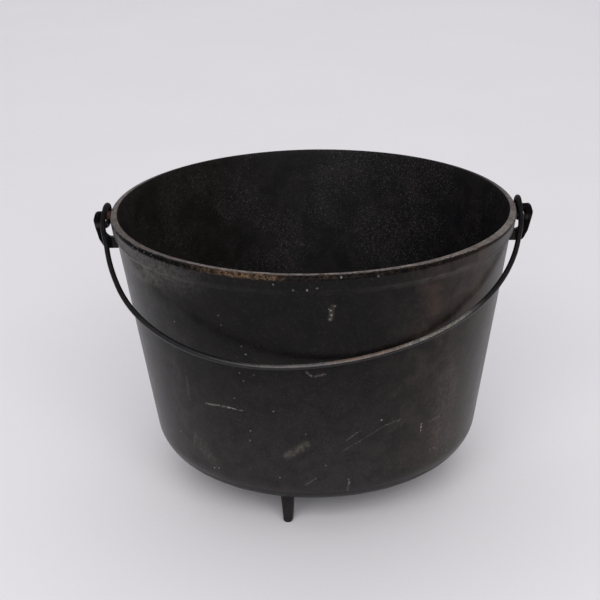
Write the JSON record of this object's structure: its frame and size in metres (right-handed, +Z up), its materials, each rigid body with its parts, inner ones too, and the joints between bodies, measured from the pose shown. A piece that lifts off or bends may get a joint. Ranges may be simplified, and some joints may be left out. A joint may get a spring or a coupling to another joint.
{
  "type": "cauldron",
  "caption": "Straight-sided cast iron cauldron on short legs, with cast ears and a wire bail that swings over the open top.",
  "frame": {"origin": "on the floor under the pot's axis, which is the centre of the bounding box's bottom face", "axes": "+Z up along the pot's axis, X through the two ears and along the bail's hinge, -Y the front, where the bail rests"},
  "size_m": [0.3448, 0.316, 0.2284],
  "materials": {
    "casting": "seasoned black iron, worn grey-brown on the lip",
    "bail": "dark iron wire, rubbed bright along its front"
  },
  "bodies": {
    "pot": {"pot_shell": "casting", "left_ear": "casting", "right_ear": "casting", "front_leg": "casting", "right_leg": "casting", "left_leg": "casting"},
    "bail": {"bail": "bail"}
  },
  "joints": [
    {"name": "bail_swing", "type": "hinge", "parent": "pot", "child": "bail", "pos_m": [0, 0, 0.2182], "axis": [-1, 0, 0], "range_deg": [0, 225.4]}
  ]
}
